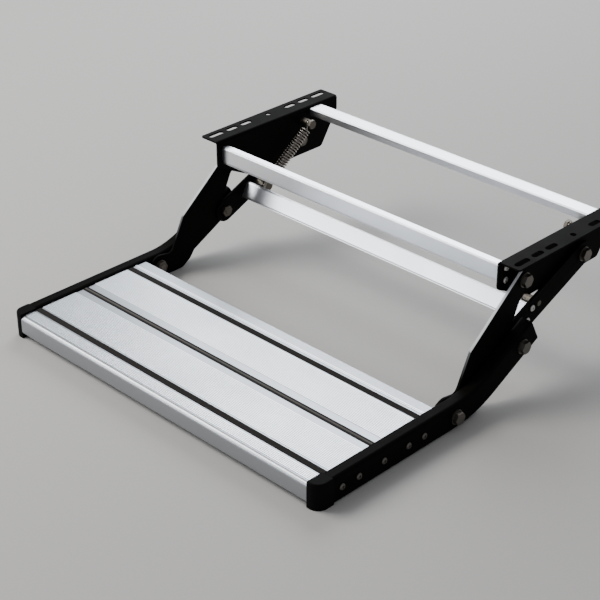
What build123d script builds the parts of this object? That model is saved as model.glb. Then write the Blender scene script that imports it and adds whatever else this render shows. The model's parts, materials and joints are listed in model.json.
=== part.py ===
from build123d import *
import math
import os

# Folding entry step for a caravan, shown swung out. Millimetres.
# X runs along the tread, +Y towards the vehicle, +Z up from the ground.
# While modelling, y is counted from the front of the tread. The finished pieces are moved so that
# the origin is on the ground under the middle of the step.

# Tread, an aluminium extrusion
TREAD_LENGTH = 560.0
TREAD_DEPTH = 230.0
TREAD_THICKNESS = 29.0
TREAD_WALL = 3.0
TREAD_WEB = 2.5
TREAD_NOSE_RADIUS = 6.0
TREAD_BACK_RADIUS = 2.5
TREAD_PORT_RADIUS = 5.0
TREAD_SCREW_GAP = 29.5
RIB_PITCH = 2.6
RIB_WIDTH = 1.4
RIB_HEIGHT = 0.7
NOSE_PLAIN = 8.5
BACK_PLAIN = 17.0
MIDDLE_SMOOTH_BAND = 12.5
OUTER_SMOOTH_BAND = 3.0
STRIP_INSET = 31.0
STRIP_WIDTH = 9.5
STRIP_THICKNESS = 1.8
STRIP_FIT = 0.05

# Side arms, rectangular tube bent up behind the tread
ARM_TUBE_WIDTH = 20.0
ARM_TUBE_HEIGHT = 38.0
ARM_TUBE_WALL = 3.0
ARM_TUBE_CORNER = 5.0
ARM_TUBE_STAND = 3.5
ARM_BEND_RADIUS = 150.0
ARM_BEND_ANGLE = 27.0
ARM_RISE = 70.6
ARM_TAIL = 29.0

# End caps on the fronts of the side arms
CAP_LENGTH = 27.0
CAP_CORNER = 15.0
CAP_EDGE = 2.5
CAP_PLUG_LENGTH = 9.0
CAP_PLUG_FIT = 0.1
PLUG_TO_SCREW = 4.5

# Linkage seen from the side. The foot pivot lies behind the tread, the arm pivot behind the foot
# pivot, and the link pivot behind and below the arm pivot.
FOOT_PIVOT_SETBACK = 22.0
ARM_PIVOT_SETBACK = 153.0
ARM_PIVOT_Z = 150.5
LINK_PIVOT_SETBACK = 136.0
LINK_PIVOT_DROP = 15.0

# Mounting brackets. The nose reaches ahead of the arm pivot and the flange lies above it.
BRACKET_SPAN = 530.0
BRACKET_NOSE = 40.5
BRACKET_LENGTH = 256.0
FLANGE_RISE = 37.0
BRACKET_SHEET = 2.5
BRACKET_BEND = 4.0
FLANGE_WIDTH = 35.5
FLANGE_CORNER = 3.0
PLATE_FRONT_DROP = 41.0
PLATE_DROP = 76.0
PLATE_NOSE_RUN = 70.0
PLATE_HEEL_RUN = 35.0
PLATE_REAR_DROP = 22.0
PLATE_CORNER = 8.0
SLOT_LINE_INSET = 24.0
SLOT_WIDTH = 9.0
OUTER_SLOT_LENGTH = 28.0
INNER_SLOT_LENGTH = 22.0
OUTER_SLOT_SPACING = 216.0
MIDDLE_SLOT_SPACING = 152.0
INNER_SLOT_SPACING = 94.0
MOUNT_HOLE_DIAMETER = 9.0

# Rear links and front arms, flat steel side by side between the plates and the side arms.
# The front arm's corners are counted from the foot pivot.
FRONT_ARM_THICKNESS = 4.0
FRONT_ARM_EYE_RADIUS = 15.0
FRONT_ARM_FOOT_RADIUS = 18.0
FRONT_ARM_KNEE = (50.0, 67.0)
FRONT_ARM_ANKLE = (24.0, 14.0)
FRONT_ARM_SOLE = (44.0, -18.0)
FRONT_ARM_HEEL = (60.0, -8.0)
FRONT_ARM_CALF = (74.0, 11.0)
FRONT_ARM_SHOULDER = (112.0, 31.0)
FRONT_ARM_WAIST = (147.0, 104.0)
FRONT_ARM_CORNER = 10.0
REAR_LINK_THICKNESS = 4.0
REAR_LINK_WIDTH = 36.0
SIDE_GAP = 0.5
LINK_GAP = 3.5

# Crossbars, three lengths of one hollow extrusion
BAR_WIDTH = 26.0
BAR_THICKNESS = 12.0
BAR_WALL = 1.8
BAR_CORNER = 3.0
BAR_PORT_SPACING = 18.0
BAR_PORT_RADIUS = 4.0
FRONT_BAR_INSET = 15.0
FRONT_BAR_DROP = 23.0
REAR_BAR_SETBACK = 31.5
REAR_BAR_DROP = 10.0
LOW_BAR_DISTANCE = 123.0
LOW_BAR_LEAN = 30.0

# Pivot bolts
BOLT_DIAMETER = 10.0
BOLT_HEAD_FLATS = 16.0
BOLT_HEAD_HEIGHT = 6.4
BOLT_TIP = 1.0
NUT_HEIGHT = 5.0
WASHER_DIAMETER = 21.0
WASHER_THICKNESS = 1.5
SPACER_DIAMETER = 18.0
RUNNING_FIT = 0.05
FACE_GAP = 0.2
OPEN_PIVOT_GAP = 0.5
CHAMFER = 0.8

# Pan-head screws
SCREW_DIAMETER = 5.0
SCREW_HEAD_DIAMETER = 9.0
SCREW_HEAD_HEIGHT = 2.4
SCREW_HEAD_SLOPE = 1.3
SCREW_RECESS_LENGTH = 4.6
SCREW_RECESS_WIDTH = 1.1
SCREW_RECESS_DEPTH = 1.4
SCREW_GRIP = 18.0

# Springs and the studs that carry them
SPRING_TOP_SETBACK = 2.0
SPRING_TOP_DROP = 20.0
LINK_STUD_DISTANCE = 101.0
STUD_DIAMETER = 8.0
STUD_HEAD_FLATS = 13.0
STUD_HEAD_HEIGHT = 5.0
STUD_NUT_HEIGHT = 4.0
SPRING_WIRE = 2.2
SPRING_DIAMETER = 18.0
SPRING_PITCH = 3.5
SPRING_TURNS = 23
SPRING_EYE_FIT = 0.3
TURN_FACETS = 12
WIRE_SIDES = 6
HOOK_END = 330
HOOK_SWEEP = 300
HOOK_FACET = 20
SPRING_PLATE_GAP = 7.0

# Worked out from the sizes above
tread_top_z = ARM_TUBE_HEIGHT - ARM_TUBE_STAND
tread_middle_y = TREAD_DEPTH / 2
tread_middle_z = tread_top_z - TREAD_THICKNESS / 2
tread_half = TREAD_LENGTH / 2
tube_middle_x = tread_half + ARM_TUBE_WIDTH / 2
tube_outer_x = tread_half + ARM_TUBE_WIDTH
tube_middle_z = ARM_TUBE_HEIGHT / 2
foot_pivot = (TREAD_DEPTH + FOOT_PIVOT_SETBACK, tube_middle_z)
arm_pivot = (foot_pivot[0] + ARM_PIVOT_SETBACK, ARM_PIVOT_Z)
link_pivot = (arm_pivot[0] + LINK_PIVOT_SETBACK, ARM_PIVOT_Z - LINK_PIVOT_DROP)
bracket_front_y = arm_pivot[0] - BRACKET_NOSE
bracket_top_z = ARM_PIVOT_Z + FLANGE_RISE
bend_angle = math.radians(ARM_BEND_ANGLE)
rise_direction = (math.cos(bend_angle), math.sin(bend_angle))
bend_end = (
    foot_pivot[0] + ARM_BEND_RADIUS * math.sin(bend_angle),
    tube_middle_z + ARM_BEND_RADIUS * (1 - math.cos(bend_angle)),
)
knee_pivot = (
    bend_end[0] + ARM_RISE * rise_direction[0],
    bend_end[1] + ARM_RISE * rise_direction[1],
)
plate_inner_x = BRACKET_SPAN / 2
plate_outer_x = plate_inner_x + BRACKET_SHEET
link_inner_x = plate_outer_x + LINK_GAP
link_outer_x = link_inner_x + REAR_LINK_THICKNESS
front_arm_inner_x = link_outer_x + SIDE_GAP
front_arm_outer_x = front_arm_inner_x + FRONT_ARM_THICKNESS
bracket_middle_y = bracket_front_y + BRACKET_LENGTH / 2
slot_line_x = plate_inner_x + SLOT_LINE_INSET
shank_radius = BOLT_DIAMETER / 2
bore_radius = shank_radius + RUNNING_FIT
screw_radius = SCREW_DIAMETER / 2
stud_radius = STUD_DIAMETER / 2
spring_x = plate_inner_x - SPRING_PLATE_GAP - SPRING_DIAMETER / 2
link_length = math.dist(link_pivot, knee_pivot)
link_direction = (
    (knee_pivot[0] - link_pivot[0]) / link_length,
    (knee_pivot[1] - link_pivot[1]) / link_length,
)
origin_y = (bracket_front_y + BRACKET_LENGTH) / 2


def along_link(distance):
    """A point on the rear link's centre line, counted from its upper pivot."""
    return (
        link_pivot[0] + distance * link_direction[0],
        link_pivot[1] + distance * link_direction[1],
    )


low_bar_middle = along_link(LOW_BAR_DISTANCE)
spring_top = (link_pivot[0] + SPRING_TOP_SETBACK, bracket_top_z - SPRING_TOP_DROP)
spring_low = along_link(LINK_STUD_DISTANCE)


def side_view(sketch, x_start, thickness):
    """Extrude a side-view sketch, drawn in y and z, outwards along X."""
    return extrude(Plane.YZ.offset(x_start) * sketch, amount=thickness)


def disc(point, radius):
    return Pos(point[0], point[1]) * Circle(radius)


def rod(point, radius, x_start, x_end):
    return side_view(disc(point, radius), x_start, x_end - x_start)


def other_side(shape):
    return mirror(shape, about=Plane.YZ)


def both_sides(shape):
    return shape + other_side(shape)


def hex_block(point, flats, x_start, height, outer_end):
    """A hexagonal head or nut with its free end turned down to a chamfer."""
    hexagon = Pos(point[0], point[1]) * RegularPolygon(flats / 2, 6, major_radius=False)
    block = side_view(hexagon, x_start, height)
    corner = flats / math.sqrt(3)
    cone = Cone(corner + height, corner - CHAMFER, height)
    if outer_end:
        cutter = Plane(origin=(x_start + height / 2, *point), z_dir=(1, 0, 0)) * cone
    else:
        cutter = Plane(origin=(x_start + height / 2, *point), z_dir=(-1, 0, 0)) * cone
    return block & cutter


def washer(point, x_start, thickness, diameter, hole_radius):
    return side_view(disc(point, diameter / 2) - disc(point, hole_radius), x_start, thickness)


def nut(point, flats, x_start, height, hole_radius):
    return hex_block(point, flats, x_start, height, False) - rod(
        point, hole_radius, x_start, x_start + height
    )


def pan_screw(point, head_x, grip):
    """A pan-head screw along X: sloped head with a cross recess outboard of head_x, shank inboard."""
    head = rod(point, SCREW_HEAD_DIAMETER / 2, head_x, head_x + SCREW_HEAD_HEIGHT)
    rim = head.edges().filter_by(GeomType.CIRCLE).sort_by(Axis.X)[-1]
    head = chamfer(rim, SCREW_HEAD_SLOPE)
    cross = Rectangle(SCREW_RECESS_LENGTH, SCREW_RECESS_WIDTH)
    cross += Rectangle(SCREW_RECESS_WIDTH, SCREW_RECESS_LENGTH)
    recess_x = head_x + SCREW_HEAD_HEIGHT - SCREW_RECESS_DEPTH
    head -= side_view(Pos(point[0], point[1]) * cross, recess_x, SCREW_RECESS_DEPTH)
    return head + rod(point, screw_radius, head_x - grip, head_x)


def tread_profile():
    """The extrusion's section, with screw ports on its webs and seats for the strips."""
    outer = Pos(tread_middle_y, tread_middle_z) * Rectangle(TREAD_DEPTH, TREAD_THICKNESS)
    front_corners = outer.vertices().group_by(Axis.X)[0]
    outer = fillet(front_corners, TREAD_NOSE_RADIUS)
    outer = fillet(outer.vertices().group_by(Axis.X)[-1], TREAD_BACK_RADIUS)
    hollow = Pos(tread_middle_y, tread_middle_z) * Rectangle(
        TREAD_DEPTH - 2 * TREAD_WALL, TREAD_THICKNESS - 2 * TREAD_WALL
    )
    hollow = fillet(hollow.vertices(), TREAD_NOSE_RADIUS - TREAD_WALL)
    profile = outer - hollow
    for port in tread_screw_points():
        web = Pos(*port) * Rectangle(TREAD_WEB, TREAD_THICKNESS - TREAD_WALL)
        profile += web + disc(port, TREAD_PORT_RADIUS)
    for port in tread_screw_points():
        profile -= disc(port, screw_radius)
    for strip_y in strip_middles():
        bed = Pos(strip_y, tread_top_z - STRIP_THICKNESS / 2) * Rectangle(
            STRIP_WIDTH + 2 * TREAD_WALL, STRIP_THICKNESS + 2 * TREAD_WALL
        )
        seat = Pos(strip_y, tread_top_z - STRIP_THICKNESS / 2) * Rectangle(
            STRIP_WIDTH + 2 * STRIP_FIT, STRIP_THICKNESS
        )
        profile += bed & outer
        profile -= seat
    return profile


def tread_screw_points():
    """Two screws behind the end cap's plug, one in the middle and two more at the back."""
    first = CAP_LENGTH + CAP_PLUG_LENGTH + PLUG_TO_SCREW
    second = first + TREAD_SCREW_GAP
    places = (first, second, tread_middle_y, TREAD_DEPTH - second, TREAD_DEPTH - first)
    return [(y, tread_middle_z) for y in places]


def strip_middles():
    return (STRIP_INSET, tread_middle_y, TREAD_DEPTH - STRIP_INSET)


def rib_positions():
    """Middles of the anti-slip ribs, left out over the strips and the smooth bands beside them."""
    bands = (OUTER_SMOOTH_BAND, MIDDLE_SMOOTH_BAND, OUTER_SMOOTH_BAND)
    clear = [STRIP_WIDTH / 2 + band + RIB_WIDTH / 2 for band in bands]
    count = int((TREAD_DEPTH - NOSE_PLAIN - BACK_PLAIN) / RIB_PITCH) + 1
    positions = [NOSE_PLAIN + index * RIB_PITCH for index in range(count)]
    limits = list(zip(strip_middles(), clear))
    return [y for y in positions if all(abs(y - middle) > reach for middle, reach in limits)]


def make_tread():
    profile = tread_profile()
    for y in rib_positions():
        profile += Pos(y, tread_top_z + RIB_HEIGHT / 2 - TREAD_WALL / 4) * Rectangle(
            RIB_WIDTH, RIB_HEIGHT + TREAD_WALL / 2
        )
    return side_view(profile, -tread_half, TREAD_LENGTH)


def make_strip(middle_y):
    """An anti-slip strip that lies flush with the ribs."""
    height = STRIP_THICKNESS + RIB_HEIGHT
    section = Pos(middle_y, tread_top_z - STRIP_THICKNESS + height / 2) * Rectangle(STRIP_WIDTH, height)
    section = fillet(section.vertices().group_by(Axis.Y)[-1], RIB_HEIGHT / 2)
    return side_view(section, -tread_half, TREAD_LENGTH)


def tube_path(start_y):
    """The side arm's centre line in y and z: level, bent up, then straight to its cut end."""
    run = Line((start_y, tube_middle_z), foot_pivot)
    bend = RadiusArc(foot_pivot, bend_end, -ARM_BEND_RADIUS)
    tail_length = ARM_RISE + ARM_TAIL
    tail_end = (
        bend_end[0] + tail_length * rise_direction[0],
        bend_end[1] + tail_length * rise_direction[1],
    )
    return Plane.YZ.offset(tube_middle_x) * Wire([run.edge(), bend.edge(), Line(bend_end, tail_end).edge()])


def tube_solid(shrink):
    start = Plane(origin=(tube_middle_x, CAP_LENGTH, tube_middle_z), x_dir=(1, 0, 0), z_dir=(0, 1, 0))
    section = RectangleRounded(
        ARM_TUBE_WIDTH - 2 * shrink, ARM_TUBE_HEIGHT - 2 * shrink, ARM_TUBE_CORNER - shrink
    )
    return sweep(start * section, path=tube_path(CAP_LENGTH))


def make_side_arm():
    arm = tube_solid(0) - tube_solid(ARM_TUBE_WALL)
    for point in (foot_pivot, knee_pivot):
        arm -= rod(point, bore_radius, tread_half, tube_outer_x)
    for point in tread_screw_points():
        arm -= rod(point, screw_radius, tread_half, tube_outer_x)
    return arm


def make_end_cap():
    """Moulded cap with a rounded outer corner and a plug that sits in the tube."""
    plan = Pos(tube_middle_x, CAP_LENGTH / 2) * Rectangle(ARM_TUBE_WIDTH, CAP_LENGTH)
    outer_corner = plan.vertices().group_by(Axis.Y)[0].sort_by(Axis.X)[-1]
    plan = fillet(outer_corner, CAP_CORNER)
    cap = extrude(plan, amount=ARM_TUBE_HEIGHT)
    top_edges = cap.faces().sort_by(Axis.Z)[-1].edges().filter_by(
        lambda edge: edge.center().Y < CAP_LENGTH - CAP_EDGE and edge.center().X > tread_half + CAP_EDGE
    )
    cap = fillet(top_edges, CAP_EDGE)
    shrink = ARM_TUBE_WALL + CAP_PLUG_FIT
    plug = Plane.XZ.offset(-CAP_LENGTH) * (
        Pos(tube_middle_x, tube_middle_z)
        * RectangleRounded(
            ARM_TUBE_WIDTH - 2 * shrink, ARM_TUBE_HEIGHT - 2 * shrink, ARM_TUBE_CORNER - ARM_TUBE_WALL
        )
    )
    return cap + extrude(plug, amount=-CAP_PLUG_LENGTH)


def make_bracket():
    """Vertical plate with its top folded outwards into a slotted flange."""
    bottom_z = bracket_top_z - PLATE_DROP
    rear_y = bracket_front_y + BRACKET_LENGTH
    outline = Polygon(
        (bracket_front_y, bracket_top_z),
        (bracket_front_y, bracket_top_z - PLATE_FRONT_DROP),
        (bracket_front_y + PLATE_NOSE_RUN, bottom_z),
        (rear_y - PLATE_HEEL_RUN, bottom_z),
        (rear_y, bracket_top_z - PLATE_REAR_DROP),
        (rear_y, bracket_top_z),
        align=None,
    )
    lower_corners = [vertex for vertex in outline.vertices() if vertex.Y < bracket_top_z - 1]
    outline = fillet(lower_corners, PLATE_CORNER)
    plate = side_view(outline, plate_inner_x, BRACKET_SHEET)
    flange = Pos(
        plate_inner_x + FLANGE_WIDTH / 2, bracket_middle_y, bracket_top_z - BRACKET_SHEET / 2
    ) * Box(FLANGE_WIDTH, BRACKET_LENGTH, BRACKET_SHEET)
    outer_corners = flange.edges().filter_by(Axis.Z).group_by(Axis.X)[-1]
    flange = fillet(outer_corners, FLANGE_CORNER)
    bracket = plate + flange
    fold_line = (plate_inner_x, bracket_top_z)
    inner_fold = (plate_outer_x, bracket_top_z - BRACKET_SHEET)
    bracket = fillet(edges_near(bracket, fold_line), BRACKET_BEND)
    bracket = fillet(edges_near(bracket, inner_fold), BRACKET_BEND - BRACKET_SHEET)
    bracket -= mounting_holes()
    for point in (arm_pivot, link_pivot):
        bracket -= rod(point, bore_radius, plate_inner_x, plate_outer_x)
    bracket -= rod(spring_top, stud_radius, plate_inner_x, plate_outer_x)
    for point in bar_screw_points(front_bar_frame()) + bar_screw_points(rear_bar_frame()):
        bracket -= rod(point, screw_radius, plate_inner_x, plate_outer_x)
    return bracket


def edges_near(shape, x_and_z):
    """Edges along Y whose middle lies at the given x and z."""
    return [
        edge
        for edge in shape.edges().filter_by(Axis.Y)
        if math.dist((edge.center().X, edge.center().Z), x_and_z) < FACE_GAP
    ]


def mounting_holes():
    rows = (
        (OUTER_SLOT_SPACING, OUTER_SLOT_LENGTH),
        (MIDDLE_SLOT_SPACING, INNER_SLOT_LENGTH),
        (INNER_SLOT_SPACING, INNER_SLOT_LENGTH),
    )
    holes = Pos(slot_line_x, bracket_middle_y) * Circle(MOUNT_HOLE_DIAMETER / 2)
    for spacing, length in rows:
        for side in (-1, 1):
            middle_y = bracket_middle_y + side * spacing / 2
            holes += Pos(slot_line_x, middle_y) * SlotOverall(length, SLOT_WIDTH, rotation=90)
    return extrude(Pos(0, 0, bracket_top_z - BRACKET_SHEET) * holes, amount=BRACKET_SHEET)


def make_front_arm():
    """Boot-shaped arm: an eye at the top, a knee and an ankle in front, a heel and a shoulder behind."""
    knee, ankle, sole, heel, calf, shoulder, waist = [
        relative_to(foot_pivot, corner)
        for corner in (
            FRONT_ARM_KNEE,
            FRONT_ARM_ANKLE,
            FRONT_ARM_SOLE,
            FRONT_ARM_HEEL,
            FRONT_ARM_CALF,
            FRONT_ARM_SHOULDER,
            FRONT_ARM_WAIST,
        )
    ]
    outline = Polygon(
        touch_point(knee, arm_pivot, FRONT_ARM_EYE_RADIUS, 1),
        knee,
        ankle,
        touch_point(ankle, foot_pivot, FRONT_ARM_FOOT_RADIUS, -1),
        foot_pivot,
        relative_to(foot_pivot, (0, -FRONT_ARM_FOOT_RADIUS)),
        sole,
        heel,
        calf,
        shoulder,
        waist,
        touch_point(waist, arm_pivot, FRONT_ARM_EYE_RADIUS, -1),
        arm_pivot,
        align=None,
    )
    outline += disc(arm_pivot, FRONT_ARM_EYE_RADIUS) + disc(foot_pivot, FRONT_ARM_FOOT_RADIUS)
    rounded = (knee, ankle, sole, heel, calf, shoulder, waist)
    corners = [
        vertex
        for vertex in outline.vertices()
        if any(math.dist((vertex.X, vertex.Y), point) < FACE_GAP for point in rounded)
    ]
    outline = fillet(corners, FRONT_ARM_CORNER)
    for point in (arm_pivot, foot_pivot):
        outline -= disc(point, bore_radius)
    arm = side_view(outline, front_arm_inner_x, FRONT_ARM_THICKNESS)
    return chamfer(rim_edges(arm), CHAMFER / 2)


def touch_point(point, centre, radius, side):
    """Where a straight line from the point touches a circle, on one side or the other."""
    reach = math.dist(point, centre)
    aim = math.atan2(centre[1] - point[1], centre[0] - point[0]) + side * math.asin(radius / reach)
    run = math.sqrt(reach**2 - radius**2)
    return (point[0] + run * math.cos(aim), point[1] + run * math.sin(aim))


def relative_to(point, offset):
    return (point[0] + offset[0], point[1] + offset[1])


def rim_edges(plate):
    """The edges of a flat plate's two broad faces."""
    faces = plate.faces().filter_by(Axis.X).sort_by(Axis.X)
    return faces[0].edges() + faces[-1].edges()


def make_rear_link():
    middle = along_link(link_length / 2)
    angle = math.degrees(math.atan2(-link_direction[1], -link_direction[0]))
    outline = Pos(*middle) * SlotCenterToCenter(link_length, REAR_LINK_WIDTH, rotation=angle)
    for point in (link_pivot, knee_pivot):
        outline -= disc(point, bore_radius)
    link = side_view(outline, link_inner_x, REAR_LINK_THICKNESS)
    link = chamfer(rim_edges(link), CHAMFER / 2)
    link -= rod(spring_low, stud_radius, link_inner_x, link_outer_x)
    for point in bar_screw_points(low_bar_frame()):
        link -= rod(point, screw_radius, link_inner_x, link_outer_x)
    return link


def front_bar_frame():
    return Pos(bracket_front_y + FRONT_BAR_INSET, bracket_top_z - FRONT_BAR_DROP) * Rot(0, 0, 90)


def rear_bar_frame():
    return Pos(link_pivot[0] + REAR_BAR_SETBACK, bracket_top_z - REAR_BAR_DROP)


def low_bar_frame():
    return Pos(*low_bar_middle) * Rot(0, 0, 90 - LOW_BAR_LEAN)


def bar_screw_points(frame):
    """Where a crossbar's two screws lie in y and z."""
    points = [(frame * Pos(side * BAR_PORT_SPACING / 2, 0)).position for side in (-1, 1)]
    return [(point.X, point.Y) for point in points]


def make_crossbar(frame, half_length):
    """Hollow bar with rounded edges and a screw port near each end of its section."""
    section = RectangleRounded(BAR_WIDTH, BAR_THICKNESS, BAR_CORNER) - RectangleRounded(
        BAR_WIDTH - 2 * BAR_WALL, BAR_THICKNESS - 2 * BAR_WALL, BAR_CORNER - BAR_WALL
    )
    for side in (-1, 1):
        port = Pos(side * BAR_PORT_SPACING / 2, 0)
        walls = port * Rectangle(2 * BAR_PORT_RADIUS, BAR_THICKNESS - BAR_WALL)
        section += walls
        section -= port * Circle(screw_radius)
    return side_view(frame * section, -half_length, 2 * half_length)


def bar_screws(frame, head_x):
    screws = [pan_screw(point, head_x, SCREW_GRIP) for point in bar_screw_points(frame)]
    return both_sides(screws[0] + screws[1])


def tread_screws():
    """Five screws through each side arm into the ports of the tread."""
    grip = ARM_TUBE_WIDTH + SCREW_GRIP
    screws = Part()
    for point in tread_screw_points():
        screws += pan_screw(point, tube_outer_x, grip)
    return both_sides(screws)


def pivot_bolt(point, head_x, tip_x):
    """A hexagon bolt along X with its head outboard of head_x."""
    head = hex_block(point, BOLT_HEAD_FLATS, head_x, BOLT_HEAD_HEIGHT, True)
    shank = rod(point, shank_radius, tip_x, head_x)
    tip = shank.edges().filter_by(GeomType.CIRCLE).sort_by(Axis.X)[0]
    return head + chamfer(tip, CHAMFER)


def nut_tip_x(nut_x):
    return nut_x - BOLT_TIP


def spring_stud(point, plate_x, nut_start_x):
    """A stud that reaches inboard to hold the spring's eye, with a hexagon head at its inner end."""
    head_x = spring_x - SPRING_WIRE - STUD_HEAD_HEIGHT
    head = hex_block(point, STUD_HEAD_FLATS, head_x, STUD_HEAD_HEIGHT, False)
    shank = rod(point, stud_radius, head_x + STUD_HEAD_HEIGHT, nut_start_x + STUD_NUT_HEIGHT)
    collar_start = spring_x + SPRING_WIRE
    collar = rod(point, STUD_HEAD_FLATS / 2, collar_start, plate_x)
    return head + shank + collar


def make_spring():
    """Tension spring between the two studs: one wire with a hook round each stud, drawn in flat facets."""
    span = math.dist(spring_top, spring_low)
    angle = math.degrees(math.atan2(spring_low[1] - spring_top[1], spring_low[0] - spring_top[0]))
    side_frame = Plane(origin=(spring_x, *spring_top), x_dir=(0, 1, 0), z_dir=(1, 0, 0))
    return side_frame * Rot(0, 0, angle) * faceted_wire(spring_line(span), SPRING_WIRE / 2)


def spring_line(span):
    """Points of the wire's middle: a hook, the coil and a second hook that mirrors the first."""
    coil_radius = (SPRING_DIAMETER - SPRING_WIRE) / 2
    coil_length = SPRING_PITCH * SPRING_TURNS
    start = (span - coil_length) / 2
    steps = SPRING_TURNS * TURN_FACETS
    coil = []
    for step in range(steps + 1):
        turn = 2 * math.pi * step / TURN_FACETS
        along = start + coil_length * step / steps
        coil.append(Vector(along, coil_radius * math.cos(turn), coil_radius * math.sin(turn)))
    first_hook = hook_line()
    last_hook = [Vector(span - point.X, point.Y, point.Z) for point in reversed(hook_line())]
    return first_hook + coil + last_hook


def hook_line():
    """Most of a ring round the stud, from its open tip to where the wire leaves for the coil."""
    radius = stud_radius + SPRING_EYE_FIT + SPRING_WIRE / 2
    steps = HOOK_SWEEP // HOOK_FACET
    angles = [math.radians(HOOK_END - HOOK_SWEEP + HOOK_FACET * step) for step in range(steps + 1)]
    return [Vector(radius * math.cos(angle), radius * math.sin(angle), 0) for angle in angles]


def faceted_wire(points, radius):
    """A closed solid along the points, with a section of a few flat sides that turns with the line."""
    runs = [(after - before).normalized() for before, after in zip(points, points[1:])]
    tangents = [(a + b).normalized() for a, b in zip([runs[0]] + runs, runs + [runs[-1]])]
    side = Vector(0, 0, 1)
    rings = []
    for point, tangent in zip(points, tangents):
        side = (side - tangent * side.dot(tangent)).normalized()
        other = tangent.cross(side)
        ring = []
        for index in range(WIRE_SIDES):
            turn = 2 * math.pi * index / WIRE_SIDES
            ring.append(point + side * (radius * math.cos(turn)) + other * (radius * math.sin(turn)))
        rings.append(ring)
    faces = [Face(Wire.make_polygon(rings[0])), Face(Wire.make_polygon(rings[-1]))]
    for before, after in zip(rings, rings[1:]):
        for index in range(WIRE_SIDES):
            following = (index + 1) % WIRE_SIDES
            faces.append(Face(Wire.make_polygon([before[index], before[following], after[following]])))
            faces.append(Face(Wire.make_polygon([before[index], after[following], after[index]])))
    return Solid(Shell(faces))


def export(name, shape):
    export_step(Pos(0, -origin_y, 0) * shape, "parts/" + name + ".step")


def export_pair(name, shape):
    export(name + "_right", shape)
    export(name + "_left", other_side(shape))


def export_frame_pieces():
    export_pair("mounting_bracket", make_bracket())
    export("front_crossbar", make_crossbar(front_bar_frame(), plate_inner_x))
    export("rear_crossbar", make_crossbar(rear_bar_frame(), plate_inner_x))
    export("front_crossbar_screws", bar_screws(front_bar_frame(), plate_outer_x))
    export("rear_crossbar_screws", bar_screws(rear_bar_frame(), plate_outer_x))
    washer_x = front_arm_outer_x + FACE_GAP
    head_x = washer_x + WASHER_THICKNESS
    nut_x = plate_inner_x - NUT_HEIGHT
    export("arm_pivot_bolts", both_sides(pivot_bolt(arm_pivot, head_x, nut_tip_x(nut_x))))
    export(
        "arm_pivot_washers",
        both_sides(washer(arm_pivot, washer_x, WASHER_THICKNESS, WASHER_DIAMETER, bore_radius)),
    )
    export(
        "arm_pivot_nuts", both_sides(nut(arm_pivot, BOLT_HEAD_FLATS, nut_x, NUT_HEIGHT, shank_radius))
    )
    spacer_length = front_arm_inner_x - FACE_GAP - plate_outer_x
    export(
        "arm_pivot_spacers",
        both_sides(washer(arm_pivot, plate_outer_x, spacer_length, SPACER_DIAMETER, bore_radius)),
    )
    washer_x = link_outer_x + FACE_GAP
    head_x = washer_x + WASHER_THICKNESS
    export("link_pivot_bolts", both_sides(pivot_bolt(link_pivot, head_x, nut_tip_x(nut_x))))
    export(
        "link_pivot_washers",
        both_sides(washer(link_pivot, washer_x, WASHER_THICKNESS, WASHER_DIAMETER, bore_radius)),
    )
    export(
        "link_pivot_nuts", both_sides(nut(link_pivot, BOLT_HEAD_FLATS, nut_x, NUT_HEIGHT, shank_radius))
    )
    spacer_length = link_inner_x - FACE_GAP - plate_outer_x
    export(
        "link_pivot_spacers",
        both_sides(washer(link_pivot, plate_outer_x, spacer_length, SPACER_DIAMETER, bore_radius)),
    )
    export("spring_top_studs", both_sides(spring_stud(spring_top, plate_inner_x, plate_outer_x)))
    export(
        "spring_top_nuts",
        both_sides(nut_outside(spring_top, plate_outer_x)),
    )


def nut_outside(point, face_x):
    """A thin nut on the outer face of a plate, over the end of a spring stud."""
    block = hex_block(point, STUD_HEAD_FLATS, face_x, STUD_NUT_HEIGHT, True)
    return block - rod(point, stud_radius, face_x, face_x + STUD_NUT_HEIGHT)


def export_front_arms():
    export_pair("front_arm", make_front_arm())


def export_rear_link_pieces():
    export_pair("rear_link", make_rear_link())
    export("low_crossbar", make_crossbar(low_bar_frame(), link_inner_x))
    export("low_crossbar_screws", bar_screws(low_bar_frame(), link_outer_x))
    stud_end_x = link_outer_x - STUD_NUT_HEIGHT
    export("spring_low_studs", both_sides(spring_stud(spring_low, link_inner_x, stud_end_x)))
    nut_x = link_inner_x - NUT_HEIGHT
    export(
        "knee_pivot_nuts", both_sides(nut(knee_pivot, BOLT_HEAD_FLATS, nut_x, NUT_HEIGHT, bore_radius))
    )


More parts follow.
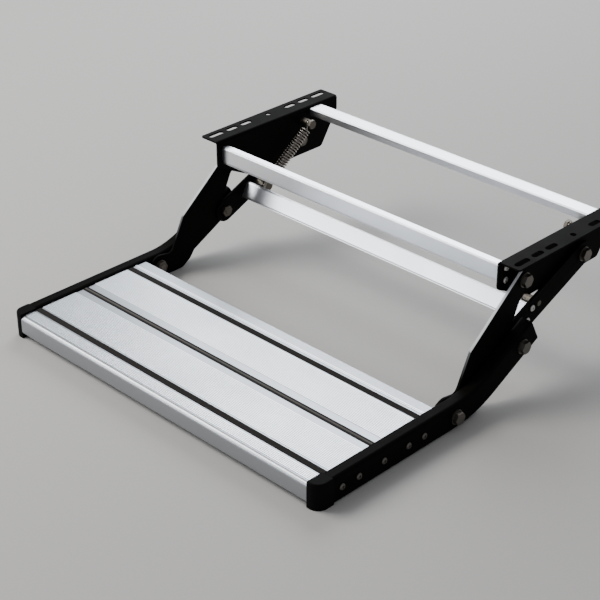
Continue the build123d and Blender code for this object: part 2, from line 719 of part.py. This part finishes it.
def export_tread_pieces():
    export("tread", make_tread())
    names = ("front", "middle", "rear")
    for name, middle_y in zip(names, strip_middles()):
        export("anti_slip_strip_" + name, make_strip(middle_y))
    export_pair("side_arm", make_side_arm())
    export_pair("end_cap", make_end_cap())
    export("tread_screws", tread_screws())
    head_x = tube_outer_x + WASHER_THICKNESS
    nut_x = front_arm_inner_x - FACE_GAP - WASHER_THICKNESS - NUT_HEIGHT
    export("foot_pivot_bolts", both_sides(pivot_bolt(foot_pivot, head_x, nut_tip_x(nut_x))))
    inner_washer_x = nut_x + NUT_HEIGHT
    foot_washers = washer(foot_pivot, tube_outer_x, WASHER_THICKNESS, WASHER_DIAMETER, bore_radius)
    foot_washers += washer(foot_pivot, inner_washer_x, WASHER_THICKNESS, WASHER_DIAMETER, bore_radius)
    export("foot_pivot_washers", both_sides(foot_washers))
    export(
        "foot_pivot_nuts", both_sides(nut(foot_pivot, BOLT_HEAD_FLATS, nut_x, NUT_HEIGHT, shank_radius))
    )
    knee_tip_x = link_outer_x + OPEN_PIVOT_GAP
    export("knee_pivot_bolts", both_sides(pivot_bolt(knee_pivot, head_x, knee_tip_x)))
    export(
        "knee_pivot_washers",
        both_sides(washer(knee_pivot, tube_outer_x, WASHER_THICKNESS, WASHER_DIAMETER, bore_radius)),
    )


def export_springs():
    export_pair("spring", make_spring())


os.makedirs("parts", exist_ok=True)
export_frame_pieces()
export_front_arms()
export_rear_link_pieces()
export_tread_pieces()
export_springs()
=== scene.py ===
import json
import math

import bmesh
import bpy
from mathutils import Matrix, Vector


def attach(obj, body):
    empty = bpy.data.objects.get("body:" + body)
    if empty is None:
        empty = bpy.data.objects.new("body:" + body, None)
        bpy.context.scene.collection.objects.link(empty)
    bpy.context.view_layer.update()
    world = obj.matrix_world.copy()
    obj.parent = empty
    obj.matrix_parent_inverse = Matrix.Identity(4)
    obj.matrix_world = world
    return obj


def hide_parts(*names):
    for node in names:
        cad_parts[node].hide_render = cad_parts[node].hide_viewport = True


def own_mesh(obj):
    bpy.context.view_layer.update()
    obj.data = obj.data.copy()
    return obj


# Looks of a folding caravan step. Metres and degrees, in the row frame.

# Camera, matched to the photo
CAMERA_TARGET = (0.0, -0.03925, 0.0632)
CAMERA_DISTANCE = 2.247
CAMERA_AZIMUTH = 45.04
CAMERA_ELEVATION = 29.66
CAMERA_ROLL = -0.34
CAMERA_LENS_MM = 97.5
CAMERA_CLIP = (0.1, 50.0)

# Floor and light
FLOOR_SIZE = 12.0
FLOOR_COLOUR = (0.50, 0.49, 0.475)
FLOOR_ROUGHNESS = 0.85
WORLD_COLOUR = (0.88, 0.90, 0.94)
WORLD_STRENGTH = 0.42
KEY_PLACE = (-2.0, -1.2, 2.3)
KEY_SIZE = 1.5
KEY_POWER = 80.0
KEY_COLOUR = (1.0, 0.97, 0.93)
BACK_PLACE = (-1.35, 1.75, 1.65)
BACK_SIZE = 1.6
BACK_POWER = 48.0
BACK_COLOUR = (0.93, 0.96, 1.0)
WINDOW_PLACE = (-2.0, -2.4, 0.95)
WINDOW_SIZE = 1.3
WINDOW_POWER = 26.0
WINDOW_COLOUR = (0.95, 0.97, 1.0)

# Softened edges of the cut and pressed pieces
EDGE_WIDTH = 0.0004
EDGE_ANGLE = 40.0
EDGE_SEGMENTS = 2
WELD_DISTANCE = 0.000004

# Painted highlight on the front arms' edge: how far the edge faces up and forwards, and how high it is,
# where the colour turns light
PAINTED_HIGHLIGHT_EDGE_UP = (0.40, 0.56)
PAINTED_HIGHLIGHT_EDGE_FORWARD = (-0.20, -0.40)
PAINTED_HIGHLIGHT_EDGE_HEIGHT = (0.05, 0.10)

# Tread ribs and strips in the row frame, and the faint bands of painted sheen along the ribs
# Faces below this height, the grooves, smooth bands and nose, take the painted shade colour
RIB_FOOT_Z = 0.03485
SHEEN_BAND_SCALE = 55.0
SHEEN_BAND_DARKEST = 0.80
STRIP_HALF_WIDTH = 0.00475
MIDDLE_STRIP_Y = -0.19525
DARK_LINE_WIDTH = 0.0033

# Colours
BLACK_COAT = (0.0042, 0.0038, 0.0034)
BLACK_PLASTIC = (0.005, 0.005, 0.005)
# Painted highlight along the upper front edge of the front arms
PAINTED_HIGHLIGHT_EDGE = (0.80, 0.82, 0.84)
ALUMINIUM = (0.86, 0.88, 0.92)
# Lit colour of the tread's rib crowns, and painted shade on its grooves and smooth bands
LIT_RIB_ALUMINIUM = (0.88, 0.915, 0.955)
PAINTED_SHADE_ALUMINIUM = (0.40, 0.42, 0.445)
ANTI_SLIP_DARK = (0.0035, 0.003, 0.0025)
ANTI_SLIP_LIGHT = (0.020, 0.0175, 0.0145)
STRIP_GREY = (0.075, 0.068, 0.060)
ZINC = (0.16, 0.148, 0.132)
DARK_ZINC = (0.12, 0.108, 0.092)
SCREW_ZINC = (0.60, 0.585, 0.56)
SPRING_STEEL = (0.36, 0.33, 0.295)

# Gloss, from 0 to 1
COAT_SPECULAR = 0.02
RUBBER_SPECULAR = 0.2
COAT_ROUGHNESS = (0.46, 0.58)
BAR_ROUGHNESS = (0.26, 0.36)
TREAD_ROUGHNESS = (0.30, 0.42)
ANTI_SLIP_ROUGHNESS = 0.85
STRIP_ROUGHNESS = 0.7
PLASTIC_ROUGHNESS = 0.5
ZINC_ROUGHNESS = (0.28, 0.48)
DARK_ZINC_ROUGHNESS = (0.34, 0.54)
SCREW_ROUGHNESS = (0.22, 0.42)
SPRING_ROUGHNESS = (0.14, 0.34)

# Grain: the noise's scale per metre, and the height of its bumps in metres
COAT_PEEL = (700.0, 0.00006)
COAT_SHEEN_SCALE = 40.0
DIE_LINES = (6.0, 1800.0, 1800.0)
DIE_LINE_HEIGHT = 0.00002
ALUMINIUM_BLOTCH_SCALE = 12.0
ANTI_SLIP_GRIT = (1100.0, 0.0004)
PLASTIC_GRAIN = (1500.0, 0.00005)
PLATING_GRAIN = (900.0, 0.00003)
PLATING_BLOTCH_SCALE = 160.0

# Springs, from the stud under the flange to the stud on the rear link
SPRING_X = 0.249
SPRING_TOP = (0.23275, 0.1675)
SPRING_LOW = (0.137998, 0.095522)
SPRING_WIRE = 0.0022
SPRING_DIAMETER = 0.0176
SPRING_PITCH = 0.0045
SPRING_TURNS = 21
HOOK_RADIUS = 0.0054
HOOK_START = 20.0
HOOK_END = 325.0
HOOK_STEPS = 30
LEAD_STEPS = 14
LEAD_PULL = 0.012
TURN_STEPS = 24
WIRE_SIDES = 10

# Knee bolt ends, seen in their nuts
KNEE_PLACE = (0.072754, 0.067401)
KNEE_TIP_X = 0.2650
KNEE_TIP_END_X = 0.2750
KNEE_TIP_RADIUS = 0.0049
KNEE_TIP_CHAMFER = 0.0008
KNEE_TIP_SIDES = 40
THREAD_DEPTH = 0.0004
THREAD_PITCH = 0.0012


def new_material(name, colour, metallic, roughness=0.5, specular=0.5):
    material = bpy.data.materials.new(name)
    material.use_nodes = True
    shader = material.node_tree.nodes["Principled BSDF"]
    shader.inputs["Base Color"].default_value = (*colour, 1.0)
    shader.inputs["Metallic"].default_value = metallic
    shader.inputs["Roughness"].default_value = roughness
    shader.inputs["Specular IOR Level"].default_value = specular
    return material


def add_noise(material, scale, stretch=(1.0, 1.0, 1.0), detail=3.0):
    """A noise texture in the object's own coordinates, drawn out along one axis if stretch says so."""
    nodes, links = material.node_tree.nodes, material.node_tree.links
    place = nodes.new("ShaderNodeTexCoord")
    mapping = nodes.new("ShaderNodeMapping")
    mapping.inputs["Scale"].default_value = stretch
    noise = nodes.new("ShaderNodeTexNoise")
    noise.inputs["Scale"].default_value = scale
    noise.inputs["Detail"].default_value = detail
    links.new(place.outputs["Object"], mapping.inputs["Vector"])
    links.new(mapping.outputs["Vector"], noise.inputs["Vector"])
    return noise


def bump_from(material, noise, height):
    nodes, links = material.node_tree.nodes, material.node_tree.links
    bump = nodes.new("ShaderNodeBump")
    bump.inputs["Distance"].default_value = height
    bump.inputs["Strength"].default_value = 1.0
    links.new(noise.outputs["Fac"], bump.inputs["Height"])
    links.new(bump.outputs["Normal"], nodes["Principled BSDF"].inputs["Normal"])


def vary_roughness(material, noise, limits):
    nodes, links = material.node_tree.nodes, material.node_tree.links
    spread = nodes.new("ShaderNodeMapRange")
    spread.inputs["To Min"].default_value, spread.inputs["To Max"].default_value = limits
    links.new(noise.outputs["Fac"], spread.inputs["Value"])
    links.new(spread.outputs["Result"], nodes["Principled BSDF"].inputs["Roughness"])


def mix_colours(material, fac_output, first, second):
    nodes, links = material.node_tree.nodes, material.node_tree.links
    ramp = nodes.new("ShaderNodeMix")
    ramp.data_type = "RGBA"
    ramp.inputs["A"].default_value = (*first, 1.0)
    ramp.inputs["B"].default_value = (*second, 1.0)
    links.new(fac_output, ramp.inputs["Factor"])
    links.new(ramp.outputs["Result"], nodes["Principled BSDF"].inputs["Base Color"])


def black_coat(name):
    """Semi-gloss powder coat with its slight orange peel."""
    material = new_material(name, BLACK_COAT, 0.0, specular=COAT_SPECULAR)
    scale, height = COAT_PEEL
    bump_from(material, add_noise(material, scale, detail=2.0), height)
    vary_roughness(material, add_noise(material, COAT_SHEEN_SCALE), COAT_ROUGHNESS)
    return material


def front_arm_painted_highlight_coat():
    """The same coat, with a painted highlight: the upper part of the arm's front edge coloured light.
    """
    material = black_coat("front_arm_painted_highlight_look")
    nodes, links = material.node_tree.nodes, material.node_tree.links
    place = nodes.new("ShaderNodeTexCoord")
    limits = (
        ("Normal", "Z", PAINTED_HIGHLIGHT_EDGE_UP),
        ("Normal", "Y", PAINTED_HIGHLIGHT_EDGE_FORWARD),
        ("Object", "Z", PAINTED_HIGHLIGHT_EDGE_HEIGHT),
    )
    product = None
    for output, axis, (start, full) in limits:
        split = nodes.new("ShaderNodeSeparateXYZ")
        links.new(place.outputs[output], split.inputs["Vector"])
        amount = nodes.new("ShaderNodeMapRange")
        amount.inputs["From Min"].default_value = start
        amount.inputs["From Max"].default_value = full
        links.new(split.outputs[axis], amount.inputs["Value"])
        times = nodes.new("ShaderNodeMath")
        times.operation = "MULTIPLY"
        times.inputs[0].default_value = 1.0
        if product:
            links.new(product, times.inputs[0])
        links.new(amount.outputs["Result"], times.inputs[1])
        product = times.outputs["Value"]
    # Light colour painted on as a highlight where the edge faces up and forwards, high on the arm
    mix_colours(material, product, BLACK_COAT, PAINTED_HIGHLIGHT_EDGE)
    return material


def satin_aluminium(name, roughness):
    """Anodised extrusion with fine die lines along X."""
    material = new_material(name, ALUMINIUM, 1.0)
    lines = add_noise(material, 1.0, stretch=DIE_LINES, detail=2.0)
    bump_from(material, lines, DIE_LINE_HEIGHT)
    vary_roughness(material, add_noise(material, ALUMINIUM_BLOTCH_SCALE), roughness)
    return material


def tread_aluminium():
    """Rib crowns in a lit aluminium colour over grooves, smooth bands and the nose in a darker colour
    of painted shade, with faint random lengthwise bands on the crowns as a painted sheen.
    """
    material = satin_aluminium("tread_aluminium_look", TREAD_ROUGHNESS)
    nodes, links = material.node_tree.nodes, material.node_tree.links
    place = nodes.new("ShaderNodeTexCoord")
    split = nodes.new("ShaderNodeSeparateXYZ")
    links.new(place.outputs["Object"], split.inputs["Vector"])
    crown = nodes.new("ShaderNodeMath")
    crown.operation = "GREATER_THAN"
    crown.inputs[1].default_value = RIB_FOOT_Z
    links.new(split.outputs["Z"], crown.inputs[0])
    # Random bands along the ribs, a painted sheen on the crowns
    bands = add_noise(material, 1.0, stretch=(0.0, SHEEN_BAND_SCALE, 0.0), detail=2.0)
    shade = nodes.new("ShaderNodeMapRange")
    shade.inputs["To Min"].default_value = SHEEN_BAND_DARKEST
    shade.inputs["To Max"].default_value = 1.0
    links.new(bands.outputs["Fac"], shade.inputs["Value"])
    brightness = nodes.new("ShaderNodeMath")
    brightness.operation = "MULTIPLY"
    links.new(crown.outputs["Value"], brightness.inputs[0])
    links.new(shade.outputs["Result"], brightness.inputs[1])
    # Painted shade below the crowns, the lit colour on them
    mix_colours(material, brightness.outputs["Value"], PAINTED_SHADE_ALUMINIUM, LIT_RIB_ALUMINIUM)
    return material


def anti_slip():
    """Dark strip with a grit."""
    material = new_material("anti_slip_look", ANTI_SLIP_DARK, 0.0, ANTI_SLIP_ROUGHNESS, RUBBER_SPECULAR)
    scale, height = ANTI_SLIP_GRIT
    grain = add_noise(material, scale, detail=1.0)
    mix_colours(material, grain.outputs["Fac"], ANTI_SLIP_DARK, ANTI_SLIP_LIGHT)
    bump_from(material, grain, height)
    return material


def grey_strip():
    """Dark grey in the middle, with a darker line along each edge."""
    material = new_material("grey_strip_look", STRIP_GREY, 0.0, STRIP_ROUGHNESS, RUBBER_SPECULAR)
    nodes, links = material.node_tree.nodes, material.node_tree.links
    place = nodes.new("ShaderNodeTexCoord")
    split = nodes.new("ShaderNodeSeparateXYZ")
    links.new(place.outputs["Object"], split.inputs["Vector"])
    offset = nodes.new("ShaderNodeMath")
    offset.operation = "SUBTRACT"
    offset.inputs[1].default_value = MIDDLE_STRIP_Y
    links.new(split.outputs["Y"], offset.inputs[0])
    distance = nodes.new("ShaderNodeMath")
    distance.operation = "ABSOLUTE"
    links.new(offset.outputs["Value"], distance.inputs[0])
    edge = nodes.new("ShaderNodeMath")
    edge.operation = "GREATER_THAN"
    edge.inputs[1].default_value = STRIP_HALF_WIDTH - DARK_LINE_WIDTH
    links.new(distance.outputs["Value"], edge.inputs[0])
    mix_colours(material, edge.outputs["Value"], STRIP_GREY, ANTI_SLIP_DARK)
    return material


def black_plastic():
    material = new_material("black_plastic_look", BLACK_PLASTIC, 0.0, PLASTIC_ROUGHNESS, COAT_SPECULAR)
    scale, height = PLASTIC_GRAIN
    bump_from(material, add_noise(material, scale, detail=1.0), height)
    return material


def plated_steel(name, colour, roughness):
    """Zinc plate or bare steel, blotched and slightly rough."""
    material = new_material(name, colour, 1.0)
    vary_roughness(material, add_noise(material, PLATING_BLOTCH_SCALE), roughness)
    scale, height = PLATING_GRAIN
    bump_from(material, add_noise(material, scale, detail=2.0), height)
    return material


def dress_nodes(frame):
    """Give each CAD node its look, nearly all by material slot, and soften the black pieces' edges."""
    looks = {
        "black_coat": black_coat("black_coat_look"),
        "satin_aluminium": satin_aluminium("satin_aluminium_look", BAR_ROUGHNESS),
        "tread_aluminium": tread_aluminium(),
        "anti_slip": anti_slip(),
        "grey_strip": grey_strip(),
        "black_plastic": black_plastic(),
        "zinc_steel": plated_steel("zinc_steel_look", ZINC, ZINC_ROUGHNESS),
        "dark_zinc": plated_steel("dark_zinc_look", DARK_ZINC, DARK_ZINC_ROUGHNESS),
        "spring_wire": plated_steel("spring_wire_look", SPRING_STEEL, SPRING_ROUGHNESS),
    }
    for subpart in frame["record"]["subparts"]:
        node = frame["nodes"][subpart["node"]]
        node.data.materials.clear()
        node.data.materials.append(looks[subpart["material_slot"]])
        if subpart["material_slot"] == "black_coat":
            soften_edges(node)
    arm_look = front_arm_painted_highlight_coat()
    for name in ("front_arm_right", "front_arm_left"):
        frame["nodes"][name].data.materials[0] = arm_look
    screw_look = plated_steel("screw_look", SCREW_ZINC, SCREW_ROUGHNESS)
    for name in ("front_crossbar_screws", "rear_crossbar_screws", "low_crossbar_screws"):
        frame["nodes"][name].data.materials[0] = screw_look
    return looks


def soften_edges(node):
    """Join the mesh's split corners, then round the sharp edges a little."""
    weld = node.modifiers.new("weld", "WELD")
    weld.merge_threshold = WELD_DISTANCE
    bevel = node.modifiers.new("edges", "BEVEL")
    bevel.width = EDGE_WIDTH
    bevel.segments = EDGE_SEGMENTS
    bevel.limit_method = "ANGLE"
    bevel.angle_limit = math.radians(EDGE_ANGLE)
    bevel.harden_normals = True


def make_floor():
    bpy.ops.mesh.primitive_plane_add(size=FLOOR_SIZE)
    floor = bpy.context.object
    floor.name = "floor"
    floor.data.materials.append(new_material("floor_look", FLOOR_COLOUR, 0.0, FLOOR_ROUGHNESS))


def make_world():
    world = bpy.data.worlds.new("soft_daylight")
    world.use_nodes = True
    background = world.node_tree.nodes["Background"]
    background.inputs["Color"].default_value = (*WORLD_COLOUR, 1.0)
    background.inputs["Strength"].default_value = WORLD_STRENGTH
    bpy.context.scene.world = world


def make_light(name, place, size, power, colour):
    """A square soft light that looks at the step."""
    data = bpy.data.lights.new(name, "AREA")
    data.size = size
    data.energy = power
    data.color = colour
    light = bpy.data.objects.new(name, data)
    light.location = place
    aim = Vector(CAMERA_TARGET) - Vector(place)
    light.rotation_euler = aim.to_track_quat("-Z", "Y").to_euler()
    bpy.context.scene.collection.objects.link(light)


def make_camera():
    azimuth = math.radians(CAMERA_AZIMUTH)
    elevation = math.radians(CAMERA_ELEVATION)
    back = Vector(
        (
            math.sin(azimuth) * math.cos(elevation),
            -math.cos(azimuth) * math.cos(elevation),
            math.sin(elevation),
        )
    )
    data = bpy.data.cameras.new("camera")
    data.lens = CAMERA_LENS_MM
    data.clip_start, data.clip_end = CAMERA_CLIP
    camera = bpy.data.objects.new("camera", data)
    turn = (-back).to_track_quat("-Z", "Y").to_matrix().to_4x4()
    roll = Matrix.Rotation(math.radians(CAMERA_ROLL), 4, "Z")
    place = Vector(CAMERA_TARGET) + back * CAMERA_DISTANCE
    camera.matrix_world = Matrix.Translation(place) @ turn @ roll
    bpy.context.scene.collection.objects.link(camera)
    bpy.context.scene.camera = camera


def hermite(start, start_pull, end, end_pull, steps):
    """Points from start to end, without the two ends, that leave and arrive along the two pulls."""
    points = []
    for step in range(1, steps):
        t = step / steps
        a = 2 * t**3 - 3 * t**2 + 1
        b = t**3 - 2 * t**2 + t
        c = -2 * t**3 + 3 * t**2
        d = t**3 - t**2
        points.append(start * a + start_pull * b + end * c + end_pull * d)
    return points


def spring_points(span):
    """The wire's middle, along, across and sideways: hook, lead, coil, and lead and hook mirrored."""
    coil_radius = (SPRING_DIAMETER - SPRING_WIRE) / 2
    coil_length = SPRING_PITCH * SPRING_TURNS
    start = (span - coil_length) / 2
    hook = []
    for step in range(HOOK_STEPS + 1):
        angle = math.radians(HOOK_START + (HOOK_END - HOOK_START) * step / HOOK_STEPS)
        hook.append(Vector((HOOK_RADIUS * math.cos(angle), HOOK_RADIUS * math.sin(angle), 0)))
    leaving = math.radians(HOOK_END + 90)
    hook_pull = Vector((math.cos(leaving), math.sin(leaving), 0)) * LEAD_PULL
    coil_pull = Vector((SPRING_PITCH / (2 * math.pi * coil_radius), 0, 1)).normalized() * LEAD_PULL
    coil = []
    steps = SPRING_TURNS * TURN_STEPS
    for step in range(steps + 1):
        turn = 2 * math.pi * step / TURN_STEPS
        along = start + coil_length * step / steps
        coil.append(Vector((along, coil_radius * math.cos(turn), coil_radius * math.sin(turn))))
    first_lead = hermite(hook[-1], hook_pull, coil[0], coil_pull, LEAD_STEPS)
    last_hook = [Vector((span - point.x, point.y, point.z)) for point in reversed(hook)]
    last_pull = Vector((hook_pull.x, -hook_pull.y, 0))
    last_lead = hermite(coil[-1], coil_pull, last_hook[0], last_pull, LEAD_STEPS)
    return hook + first_lead + coil + last_lead + last_hook


def tube_mesh(name, points, radius, sides):
    """A round wire along the points, closed at both ends."""
    mesh = bpy.data.meshes.new(name)
    work = bmesh.new()
    side = Vector((0, 0, 1))
    rings = []
    for index, point in enumerate(points):
        before = points[max(index - 1, 0)]
        after = points[min(index + 1, len(points) - 1)]
        tangent = (after - before).normalized()
        side = (side - tangent * side.dot(tangent)).normalized()
        other = tangent.cross(side)
        ring = []
        for corner in range(sides):
            turn = 2 * math.pi * corner / sides
            offset = side * (radius * math.cos(turn)) + other * (radius * math.sin(turn))
            ring.append(work.verts.new(point + offset))
        rings.append(ring)
    for ring, following in zip(rings, rings[1:]):
        for corner in range(sides):
            nearby = (corner + 1) % sides
            face = work.faces.new((ring[corner], ring[nearby], following[nearby], following[corner]))
            face.smooth = True
    work.faces.new(list(reversed(rings[0])))
    work.faces.new(rings[-1])
    bmesh.ops.recalc_face_normals(work, faces=work.faces)
    work.to_mesh(mesh)
    work.free()
    return mesh


def make_spring(side_name, x, material):
    """A coiled wire in place of the faceted CAD spring, hung on the springs body."""
    top = Vector((x, *SPRING_TOP))
    low = Vector((x, *SPRING_LOW))
    along = (low - top).normalized()
    sideways = Vector((1, 0, 0))
    across = sideways.cross(along)
    points = [
        top + along * point.x + across * point.y + sideways * point.z
        for point in spring_points((low - top).length)
    ]
    name = "coil_spring_" + side_name
    spring = bpy.data.objects.new(name, tube_mesh(name, points, SPRING_WIRE / 2, WIRE_SIDES))
    bpy.context.scene.collection.objects.link(spring)
    spring.data.materials.append(material)
    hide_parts("spring_" + side_name)
    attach(spring, "springs")
    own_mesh(spring)


def turned_mesh(name, profile, centre, direction):
    """A mesh turned about a line along X: profile gives distances along it and radii."""
    mesh = bpy.data.meshes.new(name)
    work = bmesh.new()
    rings = []
    for along, radius in profile:
        ring = []
        for corner in range(KNEE_TIP_SIDES):
            turn = 2 * math.pi * corner / KNEE_TIP_SIDES
            ring.append(
                work.verts.new(
                    (
                        centre[0] + direction * along,
                        centre[1] + radius * math.cos(turn),
                        centre[2] + radius * math.sin(turn),
                    )
                )
            )
        rings.append(ring)
    for ring, following in zip(rings, rings[1:]):
        for corner in range(KNEE_TIP_SIDES):
            nearby = (corner + 1) % KNEE_TIP_SIDES
            work.faces.new((ring[corner], ring[nearby], following[nearby], following[corner]))
    work.faces.new(list(reversed(rings[0])))
    work.faces.new(rings[-1])
    bmesh.ops.recalc_face_normals(work, faces=work.faces)
    work.to_mesh(mesh)
    work.free()
    return mesh


def make_knee_tip(side_name, direction, material):
    """The threaded end of the knee bolt, which stays in its nut on the rear link."""
    length = KNEE_TIP_END_X - KNEE_TIP_X
    profile = [(0.0, KNEE_TIP_RADIUS - KNEE_TIP_CHAMFER)]
    along = KNEE_TIP_CHAMFER
    while along + THREAD_PITCH < length:
        profile.append((along, KNEE_TIP_RADIUS))
        profile.append((along + THREAD_PITCH / 2, KNEE_TIP_RADIUS - THREAD_DEPTH))
        along += THREAD_PITCH
    profile.append((length, KNEE_TIP_RADIUS))
    name = "knee_bolt_tip_" + side_name
    start = (direction * KNEE_TIP_X, *KNEE_PLACE)
    tip = bpy.data.objects.new(name, turned_mesh(name, profile, start, direction))
    bpy.context.scene.collection.objects.link(tip)
    tip.data.materials.append(material)
    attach(tip, "rear_links")


def make_pieces(looks):
    for side_name, direction in (("right", 1), ("left", -1)):
        make_spring(side_name, direction * SPRING_X, looks["spring_wire"])
        make_knee_tip(side_name, direction, looks["dark_zinc"])


with open("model.json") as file:
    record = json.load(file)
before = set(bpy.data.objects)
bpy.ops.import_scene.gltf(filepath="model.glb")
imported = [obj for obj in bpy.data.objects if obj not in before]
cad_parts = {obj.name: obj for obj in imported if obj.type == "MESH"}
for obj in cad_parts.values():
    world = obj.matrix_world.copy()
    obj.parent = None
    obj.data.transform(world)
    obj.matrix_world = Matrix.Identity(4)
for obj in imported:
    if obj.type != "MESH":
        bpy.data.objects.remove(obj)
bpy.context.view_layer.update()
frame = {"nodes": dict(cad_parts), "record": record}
make_pieces(dress_nodes(frame))
make_floor()
make_world()
make_light("key", KEY_PLACE, KEY_SIZE, KEY_POWER, KEY_COLOUR)
make_light("back", BACK_PLACE, BACK_SIZE, BACK_POWER, BACK_COLOUR)
make_light("window", WINDOW_PLACE, WINDOW_SIZE, WINDOW_POWER, WINDOW_COLOUR)
make_camera()
